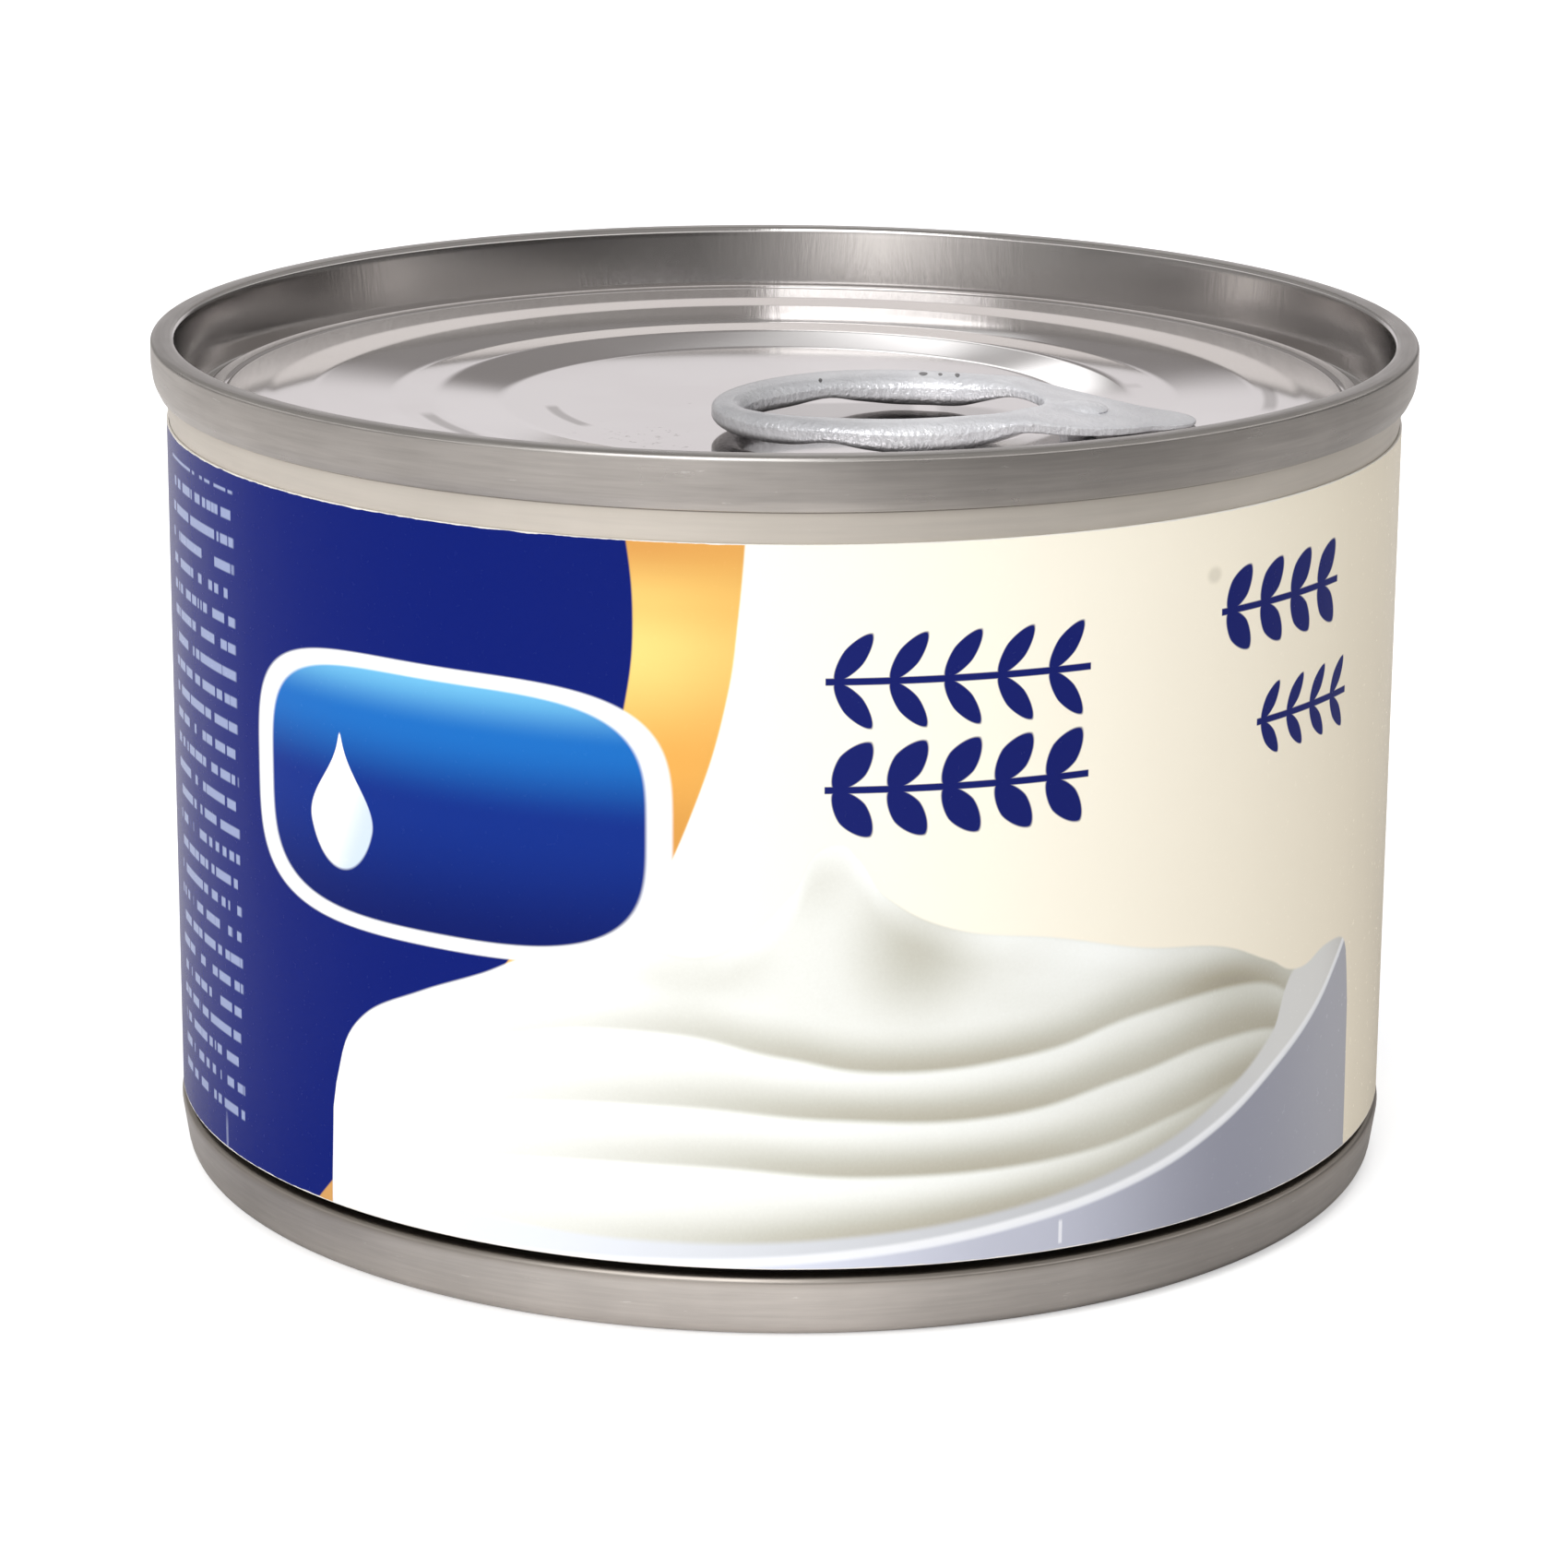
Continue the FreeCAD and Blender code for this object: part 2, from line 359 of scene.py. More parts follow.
# Lacquer of the lid
lidFinish = {
    "tones": [(0.74, 0.71, 0.705, 1.0), (0.78, 0.755, 0.75, 1.0)], "wallTone": (0.62, 0.60, 0.59, 1.0),
    "wallFrom": (34.9, 35.5), "roughness": 0.065, "wallRoughness": 0.07,
    "dirtTone": (0.22, 0.19, 0.17, 1.0), "dirt": 0.55,
    # a dustier patch at the front left: degrees round, radius
    "dustyPatch": (-42.0, 13.5),
    # painted dark reflections: short arcs along the steps, first and last degrees round, radius, width
    "reflectionArcs": [(-74, -52, 21.9, 0.45), (-82, -54, 14.0, 0.40), (97, 101, 21.3, 0.5), (78, 94, 28.9, 0.45)],
    "reflectionArcTone": (0.20, 0.18, 0.165, 1.0),
    # where the ring keeps the light off the panel, with a clear bar across it
    "underRing": {"middle": (5.0, -3.6), "half": (8.8, 3.2), "bar": 8.4, "depth": 0.45,
                  "tone": (0.16, 0.145, 0.14, 1.0)},
}


def lacqueredLid():
    material, tree, shader = newMaterial("lidLacquer")
    point, radius, turn, height = canPlaces(tree)
    cloud = noiseOf(point, 0.09, 3.0, 0.55)
    drawn = vectorOf(times(turn, 1.1), 0.0, times(height, 0.25))
    streaks = noiseOf(drawn, 1.4, 3.0, 0.65)
    onWall = softStep(radius, *lidFinish["wallFrom"])
    shade = mixColours(softStep(cloud, 0.35, 0.65), *lidFinish["tones"])
    shade = mixColours(onWall, shade, lidFinish["wallTone"])
    dustTurn, dustRadius = lidFinish["dustyPatch"]
    patch = times(softStep(away(turn, dustTurn), 12.0, 30.0, 0.09, 0.0),
                  softFall(away(radius, dustRadius), 1.5, 4.5))
    specks = plus(noiseOf(point, 1.9, 4.0, 0.7), patch)
    dirt = times(softStep(specks, 0.69, 0.735),
                 softStep(noiseOf(point, 0.16, 1.0), 0.52, 0.62))
    shade = mixColours(times(dirt, lidFinish["dirt"]), shade, lidFinish["dirtTone"])
    # painted reflection: dark arcs along the steps of the panel
    for start, end, ring, width in lidFinish["reflectionArcs"]:
        reflectionArc = times(between(turn, (start - 1.0, start + 4.0), (end - 4.0, end + 1.0)),
                    softStep(away(radius, ring), width * 0.4, width * 1.3, 0.7, 0.0))
        shade = mixColours(reflectionArc, shade, lidFinish["reflectionArcTone"])
    under = lidFinish["underRing"]
    across, up, _ = partsOf(point)
    shadow = times(softFall(ovalOf(across, up, under["middle"], under["half"]), 0.80, 1.05),
                   softStep(away(across, under["bar"]), 0.4, 1.1))
    shade = mixColours(times(shadow, under["depth"]), shade, under["tone"])
    plug(shader.inputs["Base Color"], shade)
    shader.inputs["Metallic"].default_value = 1.0
    rough = calc("MULTIPLY_ADD", minus(cloud, 0.5), 0.03, lidFinish["roughness"])
    rough = plus(rough, times(onWall, lidFinish["wallRoughness"]))
    plug(shader.inputs["Roughness"], rough)
    plug(shader.inputs["Normal"], bumpOf(times(streaks, onWall), 0.3, 0.03))
    return material


lidLacquer = lacqueredLid()

# Body wall: the bare strip over the label and the shoulder under it
body = {
    "neckRadius": 35.7, "neckTop": 3.75, "shoulderTop": 4.5, "floor": 4.55, "wall": 0.4,
    "flareFoot": 45.1, "flareTop": 46.9,
}
canBody = turnOutline("canBody", roundedOutline([
    (0, body["floor"], 0),
    (body["neckRadius"] - body["wall"], body["floor"], 0),
    (body["neckRadius"] - body["wall"], body["neckTop"] - 0.3, 0),
    (body["neckRadius"], body["neckTop"] - 0.3, 0),
    (body["neckRadius"], body["neckTop"], 0.3),
    (bodyRadius, body["shoulderTop"] - 0.1, 0.5),
    (bodyRadius, body["flareFoot"], 0),
    (flareRadius, body["flareTop"], 0),
    (flareRadius, body["flareTop"] + 0.3, 0),
    (bodyRadius - body["wall"], body["flareTop"] + 0.3, 0),
    (bodyRadius - body["wall"], panelHeight - 0.6, 0),
    (0, panelHeight - 0.6, 0),
]))
canBody.data.materials.append(bodyTin)
settle(canBody, "can_body")

# Lid: double seam, chuck wall, countersink and a panel stepped down to its middle
lid = {
    "seamLow": 46.9, "curlTop": 48.5, "seamInner": 36.2, "crown": 0.62, "chuckTop": 36.1, "chuckFoot": 35.62,
    "underside": 0.55, "plug": 0.5, "curlEdge": 0.35, "curlGap": 0.05, "sinkInner": 34.85, "panelEdge": 34.25,
    # the panel's steps: (radius, height over the panel's middle), each rounded by stepRounding
    "steps": [(30.6, 0.71), (28.0, 0.70), (23.4, 0.385), (20.8, 0.375), (16.9, 0.03)], "stepRounding": 9.0,
    # the score line's cut: (distance from its middle, height over the panel's middle)
    "score": 33.3, "cut": [(0.26, 0.8976), (0.16, 0.89), (0, 0.79), (-0.16, 0.875), (-0.26, 0.8685)],
}
lidCorners = [
    (0, panelHeight - lid["underside"], 0),
    (bodyRadius - lid["plug"], panelHeight - lid["underside"], 0),
    (bodyRadius - lid["plug"], lid["seamLow"] + lid["curlEdge"], 0),
    (flareRadius + lid["curlGap"], lid["seamLow"] + lid["curlEdge"], 0),
    (flareRadius + lid["curlGap"], lid["seamLow"] + 0.05, 0),
    (seamRadius - 0.45, lid["seamLow"], 0.12),
    (seamRadius - 0.12, lid["seamLow"] + 0.7, 1.5),
    (seamRadius, lid["curlTop"], 1.5),
    (seamRadius, canHeight - 0.02, lid["crown"]),
    (seamRadius - 0.62, canHeight, 0.5),
    (lid["chuckTop"], canHeight, lid["crown"]),
    # these two keep the chuck wall straight between its rounded ends
    (lid["chuckTop"] - 0.071, canHeight - 0.64, 0),
    (lid["chuckFoot"] + 0.05, panelHeight + 0.57, 0),
    (lid["chuckFoot"], panelHeight + 0.12, 0.42),
    (lid["sinkInner"], panelHeight + 0.10, 0.35),
    (lid["panelEdge"], panelHeight + 0.95, 0.25),
]
lidCorners += [(lid["score"] + across, panelHeight + rise, 0) for across, rise in lid["cut"]]
lidCorners += [(radius, panelHeight + rise, lid["stepRounding"]) for radius, rise in lid["steps"]]
lidCorners += [(8.0, panelHeight + 0.01, 0), (0, panelHeight, 0)]
lidEnd = turnOutline("lidEnd", roundedOutline(lidCorners, fewest=6), steps=360)
lidEnd.data.materials.append(lidLacquer)
lidEnd.data.materials.append(rolledSeam)
for face in lidEnd.data.polygons:
    if math.hypot(face.center.x, face.center.y) / mm > lid["seamInner"]:
        face.material_index = 1
settle(lidEnd, "lid_end")

# Base end
base = {
    "seamHeight": 3.75, "foot": 33.9, "crown": 1.6, "taper": 0.55, "lip": 0.4, "plug": 0.5, "plugTop": 4.5, "hem": 0.35,
    # the recessed panel: a raised rib, its edges, and a step out to the foot
    "recess": 3.1, "rib": 0.3, "ribEdges": (16.6, 18.0, 25.4, 26.8), "ribRounding": 3.0,
    "step": 0.5, "stepEdges": (31.9, 32.4, 33.1),
}
ribIn, ribTopIn, ribTopOut, ribOut = base["ribEdges"]
stepIn, stepTopIn, stepTopOut = base["stepEdges"]
baseEnd = turnOutline("baseEnd", roundedOutline([
    (0, base["recess"], 0),
    (ribIn, base["recess"], base["ribRounding"]),
    (ribTopIn, base["recess"] + base["rib"], base["ribRounding"]),
    (ribTopOut, base["recess"] + base["rib"], base["ribRounding"]),
    (ribOut, base["recess"], base["ribRounding"]),
    (stepIn, base["recess"], 0.3),
    (stepTopIn, base["recess"] + base["step"], 0.3),
    (stepTopOut, base["recess"] + base["step"], 0.3),
    (base["foot"], 0.0, 0.45),
    (baseRadius - base["taper"], 0.0, base["crown"]),
    (baseRadius, base["seamHeight"], base["lip"]),
    (body["neckRadius"] + 0.06, base["seamHeight"], 0),
    (body["neckRadius"] + 0.06, base["seamHeight"] - base["hem"], 0),
    (body["neckRadius"] - base["plug"], base["seamHeight"] - base["hem"], 0),
    (body["neckRadius"] - base["plug"], base["plugTop"], 0),
    (0, base["plugTop"], 0),
]))
baseEnd.data.materials.append(baseTin)
settle(baseEnd, "base_end")

# Ring-pull: a flat ring of faces with a nose, thickened, rolled over at its edges and arched
tab = {
    "points": 72, "crowding": 0.62, "cuts": 4, "rounding": 0.62, "hump": 0.12, "humpRadius": 3.2,
    "ringMiddle": -11.2, "ringLength": 20.2, "ringWidth": 18.0,
    "holeMiddle": -10.7, "holeSide": -0.4, "holeLength": 17.6, "holeWidth": 10.8, "holeTurn": 7.0,
    "nose": [(-6.5, 7.9), (-3.2, 6.9), (0.0, 5.6), (2.4, 4.1), (4.5, 2.4)], "noseRadius": 2.4,
    # side view: (place along the tab from the rivet, height over the panel's middle)
    "top": [(-22.0, 1.80), (-18.0, 2.02), (-11.0, 2.14), (-3.4, 2.10), (-1.6, 1.74), (0.0, 1.44), (3.0, 1.10),
            (7.5, 0.80)],
    "bottom": [(-22.0, 0.62), (-19.0, 0.46), (-16.6, 0.55), (-14.4, 0.85), (-12.6, 0.56), (-10.5, 0.33), (-8.5, 0.31),
               (-6.6, 0.36), (-5.2, 0.74), (-3.6, 1.22), (-1.5, 1.06), (1.4, 0.74), (3.5, 0.62), (7.5, 0.62)],
    # the arms are curled by this share, from the first place along the tab to the second
    "curl": 0.80, "curlFrom": (-1.0, -5.0),
}


def lineThrough(points, at):
    # a smooth line through (place, value) points
    if at <= points[0][0]:
        return points[0][1]
    for i in range(len(points) - 1):
        (x0, y0), (x1, y1) = points[i], points[i + 1]
        if at <= x1:
            before = points[i - 1] if i else points[i]
            after = points[i + 2] if i + 2 < len(points) else points[i + 1]
            slope0 = (y1 - before[1]) / (x1 - before[0])
            slope1 = (after[1] - y0) / (after[0] - x0)
            t, span = (at - x0) / (x1 - x0), x1 - x0
            return ((2 * t**3 - 3 * t**2 + 1) * y0 + (t**3 - 2 * t**2 + t) * span * slope0
                    + (3 * t**2 - 2 * t**3) * y1 + (t**3 - t**2) * span * slope1)
    return points[-1][1]


def inTab(along, side):
    inRing = ((along - tab["ringMiddle"]) / (tab["ringLength"] / 2)) ** 2 + (side / (tab["ringWidth"] / 2)) ** 2 <= 1
    tip = tab["nose"][-1][0]
    if tab["nose"][0][0] <= along <= tip:
        inNose = abs(side) <= lineThrough(tab["nose"], along)
    else:
        inNose = along > tip and math.hypot(along - tip, side) <= tab["noseRadius"]
    return inRing or inNose


def tabEdge(angle):
    # how far the outline lies from the hole's middle in one direction
    near, far = 5.0, 20.0
    for _ in range(30):
        middle = (near + far) / 2
        place = (tab["holeMiddle"] + middle * math.cos(angle), tab["holeSide"] + middle * math.sin(angle))
        if inTab(*place):
            near = middle
        else:
            far = middle
    return near


def holeEdge(angle):
    angle -= math.radians(tab["holeTurn"])
    halfLong, halfWide = tab["holeLength"] / 2, tab["holeWidth"] / 2
    return halfLong * halfWide / math.hypot(halfWide * math.cos(angle), halfLong * math.sin(angle))


def fromHole(angle, reach):
    return Vector((tab["holeMiddle"] + reach * math.cos(angle), tab["holeSide"] + reach * math.sin(angle), 0))


def flatTab():
    # the circle becomes the hole's edge, and a second loop the outline
    deselectAll()
    bpy.ops.mesh.primitive_circle_add(vertices=tab["points"], radius=10 * mm)
    piece = bpy.context.object
    piece.name = piece.data.name = "pullTab"
    count = tab["points"]
    evenly = [2 * math.pi * i / count for i in range(count)]
    angles = [even - tab["crowding"] * math.sin(even) for even in evenly]
    for vertex, angle in zip(piece.data.vertices, angles):
        vertex.co = fromHole(angle, holeEdge(angle)) * mm
    bpy.ops.object.mode_set(mode="EDIT")
    bpy.ops.mesh.select_all(action="SELECT")
    bpy.ops.mesh.extrude_region_move(TRANSFORM_OT_translate={"value": (0, 0, 0)})
    bpy.ops.object.mode_set(mode="OBJECT")
    for vertex, angle in zip(list(piece.data.vertices)[count:], angles):
        vertex.co = fromHole(angle, tabEdge(angle)) * mm
    # cuts between the two loops, so that the long nose can follow its curves
    bpy.ops.object.mode_set(mode="EDIT")
    bpy.ops.mesh.select_all(action="DESELECT")
    bpy.ops.mesh.select_mode(type="EDGE")
    bpy.ops.object.mode_set(mode="OBJECT")
    for edge in piece.data.edges:
        low, high = sorted(edge.vertices)
        edge.select = low < count <= high
    bpy.ops.object.mode_set(mode="EDIT")
    bpy.ops.mesh.subdivide_edgering(number_cuts=tab["cuts"], interpolation="LINEAR")
    return piece


def thickenTab(piece, thickness):
    bpy.ops.mesh.select_all(action="SELECT")
    bpy.ops.mesh.normals_make_consistent(inside=False)
    bpy.ops.mesh.extrude_region_move(TRANSFORM_OT_translate={"value": (0, 0, thickness)})
    bpy.ops.mesh.select_all(action="SELECT")
    bpy.ops.mesh.normals_make_consistent(inside=False)
    bpy.ops.mesh.select_all(action="DESELECT")
    bpy.ops.mesh.edges_select_sharp(sharpness=math.radians(60))
    bpy.ops.mesh.bevel(offset=tab["rounding"] * mm, segments=4, profile=0.5, clamp_overlap=True)
    bpy.ops.object.mode_set(mode="OBJECT")
    smoother = piece.modifiers.new("smoother", "SUBSURF")
    smoother.levels = smoother.render_levels = 1
    bpy.ops.object.modifier_apply(modifier="smoother")


def archTab(piece, thickness):
    # the flat plate is squeezed between its arched top and its underside: the ring's arms are curled
    # round, and the nose is a flat sheet with a hump over the rivet
    curlStart, curlEnd = tab["curlFrom"]
    for vertex in piece.data.vertices:
        along, side = vertex.co.x / mm, vertex.co.y / mm
        share = vertex.co.z / thickness
        low, high = lineThrough(tab["bottom"], along), lineThrough(tab["top"], along)
        outward = Vector((along - tab["holeMiddle"], side - tab["holeSide"]))
        angle = math.atan2(outward.y, outward.x)
        inner, outer = holeEdge(angle), tabEdge(angle)
        across = min(1.0, abs(2 * (outward.length - inner) / (outer - inner) - 1))
        curl = min(1.0, max(0.0, (curlStart - along) / (curlStart - curlEnd)))
        middle, half = (low + high) / 2, (high - low) / 2
        half *= 1 - curl * (1 - math.sqrt(1 - tab["curl"] * across ** 2.6))
        hump = tab["hump"] * math.exp(-(along ** 2 + side ** 2) / tab["humpRadius"] ** 2)
        vertex.co.z = (panelHeight + middle + (2 * share - 1) * half + share * hump) * mm
        vertex.co.x += rivetPlace.x * mm
        vertex.co.y += rivetPlace.y * mm


def makeTab():
    thickness = 2 * mm
    piece = flatTab()
    thickenTab(piece, thickness)
    archTab(piece, thickness)
    bpy.ops.object.shade_smooth()
    return piece


pullTab = makeTab()

# Lacquer of the ring-pull and the rivet
tabFinish = {
    "tones": [(0.86, 0.865, 0.905, 1.0), (0.95, 0.955, 0.99, 1.0)], "metal": 0.6, "roughness": 0.30,
    "coat": 0.5, "coatRoughness": 0.18,
    # (x, tone of the lacquer): painted light and shade along the tab, darkest at the ring's end
    "paintedShade": [(-4.0, 0.62), (3.0, 0.76), (8.5, 1.0), (17.5, 1.0), (21.5, 0.80)], "paintedShadeFrom": -5.0, "paintedShadeTo": 25.0,
    # small dark marks on the back arm: (place along and across the tab, half size)
    "dots": [((-8.8, 6.5), (0.28, 0.50)), ((-7.8, 6.3), (0.14, 0.40)), ((-6.8, 6.1), (0.16, 0.55)),
             ((-14.9, 4.9), (0.12, 0.40))],
    "dotTone": (0.03, 0.028, 0.03, 1.0), "underTone": (0.10, 0.095, 0.10, 1.0), "under": 0.8,
}


def tabLacquer():
    material, tree, shader = newMaterial("tabLacquer")
    point = pointOf(tree)
    across, up, high = partsOf(point)
    pebbles = noiseOf(point, 3.2, 2.0, 0.55)
    waves = noiseOf(point, 0.5, 2.0)
    shade = mixColours(softStep(waves, 0.3, 0.7), *tabFinish["tones"])
    # painted light and shade: the lacquer's tone changes along the tab
    first, last = tabFinish["paintedShadeFrom"], tabFinish["paintedShadeTo"]
    paintedShade = rampOf(softRange(across, first, last), [
        ((place - first) / (last - first), (tone, tone, tone, 1.0)) for place, tone in tabFinish["paintedShade"]])
    shade = mixColours(1.0, shade, paintedShade, "MULTIPLY")
    for place, half in tabFinish["dots"]:
        mark = ovalOf(across, up, (rivetPlace.x + place[0], rivetPlace.y + place[1]), half)
        shade = mixColours(softStep(mark, 0.75, 1.1, 0.9, 0.0), shade, tabFinish["dotTone"])
    # painted shade under the arms
    under = times(softFall(high, panelHeight + 0.75, panelHeight + 1.2),
                  softFall(across, rivetPlace.x - 4.5, rivetPlace.x - 2.5))
    shade = mixColours(times(under, tabFinish["under"]), shade, tabFinish["underTone"])
    plug(shader.inputs["Base Color"], shade)
    shader.inputs["Metallic"].default_value = tabFinish["metal"]
    plug(shader.inputs["Roughness"], calc("MULTIPLY_ADD", waves, 0.12, tabFinish["roughness"]))
    plug(shader.inputs["Normal"], bumpOf(waves, 0.25, 0.15, bumpOf(pebbles, 1.0, 0.12)))
    shader.inputs["Coat Weight"].default_value = tabFinish["coat"]
    shader.inputs["Coat Roughness"].default_value = tabFinish["coatRoughness"]
    return material


greyLacquer = tabLacquer()
pullTab.data.materials.append(greyLacquer)
settle(pullTab, "pull_tab")

# Rivet head
rivet = {"head": 1.75, "rise": 0.42, "shank": 1.1, "thickness": 0.33}
shankFoot = rivetLow.z / mm + 0.02
headFoot = rivetHigh.z / mm - rivet["thickness"]
rivetHead = turnOutline("rivetHead", roundedOutline([
    (0, shankFoot, 0),
    (rivet["shank"], shankFoot, 0),
    (rivet["shank"], headFoot, 0),
    (rivet["head"], headFoot, 0),
    (rivet["head"], headFoot + 0.07, 0.05),
    (rivet["head"] * 0.80, headFoot + 0.27, 0.6),
    (rivet["head"] * 0.42, headFoot + 0.39, 0.9),
    (0, headFoot + rivet["rise"], 0),
]), steps=64)
for vertex in rivetHead.data.vertices:
    vertex.co.x += rivetPlace.x * mm
    vertex.co.y += rivetPlace.y * mm
rivetHead.data.materials.append(greyLacquer)
settle(rivetHead, "rivet")

# Paper label with its glued overlap at the back
paper = {
    "inside": bodyRadius + labelGap, "outside": bodyRadius + labelGap + labelThickness,
    "low": labelLow.z / mm, "high": labelHigh.z / mm, "overlap": 12.0, "ramp": 2.0, "sink": 1.1,
}
paperCorners = [
    (paper["inside"], paper["low"]),
    (paper["outside"], paper["low"]),
    (paper["outside"], paper["high"]),
    (paper["inside"], paper["high"]),
    (paper["inside"], paper["low"]),
]
label = turnOutline("paperLabel", paperCorners, steps=360)
flapCorners = [(radius + labelThickness, height) for radius, height in paperCorners]
flap = turnOutline("labelFlap", flapCorners, steps=24, turn=paper["overlap"])
deselectAll()
flap.select_set(True)
bpy.context.view_layer.objects.active = flap
bpy.ops.object.mode_set(mode="EDIT")
bpy.ops.mesh.select_all(action="DESELECT")
bpy.ops.mesh.select_mode(type="EDGE")
bpy.ops.mesh.select_non_manifold()
bpy.ops.mesh.fill_holes(sides=8)
bpy.ops.mesh.select_all(action="SELECT")
bpy.ops.mesh.normals_make_consistent(inside=False)
bpy.ops.object.mode_set(mode="OBJECT")
flap.data.transform(Matrix.Rotation(math.radians(90), 4, "Z"))
# the flap's first edge sinks into the sheet under it
for vertex in flap.data.vertices:
    angle = math.degrees(math.atan2(-vertex.co.x, vertex.co.y))
    sink = max(0.0, 1 - angle / paper["ramp"]) * labelThickness * paper["sink"]
    radius = math.hypot(vertex.co.x, vertex.co.y)
    vertex.co.x *= 1 - sink * mm / radius
    vertex.co.y *= 1 - sink * mm / radius
deselectAll()
flap.select_set(True)
label.select_set(True)
bpy.context.view_layer.objects.active = label
bpy.ops.object.join()

# Print on the label, by degrees round from the front and height in millimetres
labelPrint = {
    "blue": fromScreen(2, 24, 110), "navy": fromScreen(20, 30, 104), "paperEdge": fromScreen(236, 232, 224),
    # where the blue starts again, past the right-hand side
    "backBlue": 104.8,
    "ivory": [(0.0, fromScreen(253, 251, 236)), (0.5, fromScreen(248, 240, 222)), (1.0, fromScreen(240, 228, 205))],
    # the gold band: tones up its height, and its two edges as (height, degrees round)
    "gold": [(0.0, fromScreen(208, 156, 92)), (0.28, fromScreen(216, 148, 70)), (0.48, fromScreen(246, 194, 104)),
             (0.60, fromScreen(208, 142, 64)), (0.70, fromScreen(233, 170, 82)), (0.86, fromScreen(246, 214, 126)),
             (0.92, fromScreen(238, 198, 112)), (1.0, fromScreen(216, 156, 82))],
    "goldShade": fromScreen(226, 168, 86),
    "goldLeft": [(4.0, -46.2), (8.0, -40.5), (12.0, -35.0), (18.0, -27.5), (24.0, -21.0), (30.0, -16.2),
                 (36.8, -13.2), (41.0, -12.7), (45.5, -13.4)],
    "goldRight": [(4.0, -42.5), (8.0, -35.5), (12.0, -29.0), (18.0, -20.5), (24.4, -12.0), (30.8, -7.3),
                  (37.0, -4.6), (41.0, -3.8), (45.5, -3.2)],
    # a plain plate and its drop: (degrees round, height) of the middle, half width and height
    "plate": {"middle": (-31.5, 29.0), "half": (14.2, 8.0), "squareness": 3.6, "rim": 0.90,
              "tones": [(0.0, fromScreen(4, 22, 96)), (0.5, fromScreen(10, 44, 132)), (0.78, fromScreen(24, 106, 188)),
                        (1.0, fromScreen(118, 196, 232))]},
    "drop": {"middle": (-42.0, 28.2), "half": (2.6, 3.9)},
    # leaf sprigs: first and last place round, height, spacing, leaf length and width
    "sprigs": [(3.5, 27.0, 37.6, 3.0, 3.3, 1.25), (3.5, 27.0, 31.6, 3.0, 3.3, 1.75), (41.0, 60.0, 39.4, 2.8, 3.0, 1.6),
               (46.0, 60.0, 32.6, 2.4, 2.6, 1.0)],
    "finePrint": {"from": -76.0, "to": -57.5, "low": 6.0, "high": 44.0, "row": 1.55, "tone": fromScreen(176, 188, 222)},
    # marks of use: (degrees round, tone, strength)
    "scratch": (25.2, fromScreen(244, 244, 248), 0.7), "crease": (-62.0, fromScreen(170, 178, 208), 0.5),
    "smudge": (40.0, 41.6), "smudgeTone": fromScreen(176, 168, 150),
}
